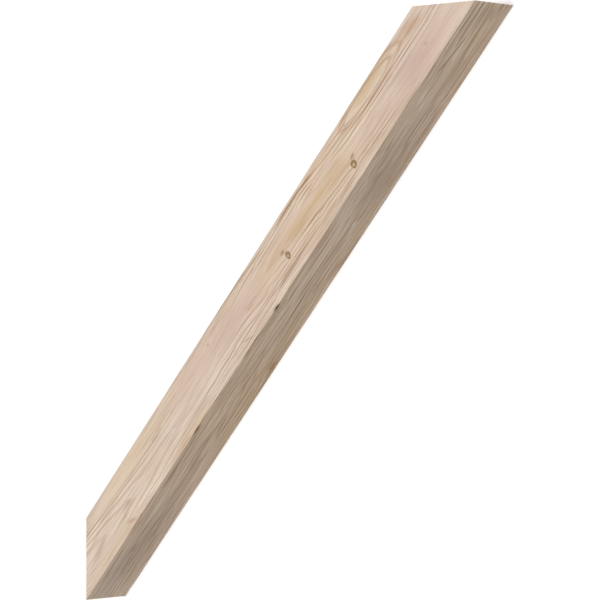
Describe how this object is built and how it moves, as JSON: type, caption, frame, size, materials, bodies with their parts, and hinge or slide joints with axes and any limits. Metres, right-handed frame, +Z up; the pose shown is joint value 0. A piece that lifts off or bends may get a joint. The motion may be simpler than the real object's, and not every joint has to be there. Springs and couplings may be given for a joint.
{
  "type": "timber brace",
  "caption": "Straight square-section softwood knee brace with skew-sawn ends, made to prop a level beam off an upright wall or post.",
  "frame": {"origin": "on the floor, under the middle of the box that holds the brace as it lies on its side", "axes": "+X along the timber from the foot cut, which bears on the wall, to the head cut, which bears under the beam; +Y from the long outer face to the short inner face; +Z up, square to the two skew-cut sides"},
  "size_m": [1.2234, 0.0888, 0.0889],
  "materials": {
    "douglas_fir": "surfaced smooth, unfinished, with freshly sawn end grain on both cuts"
  },
  "bodies": {
    "root": {"timber_brace": "douglas_fir"}
  },
  "joints": []
}
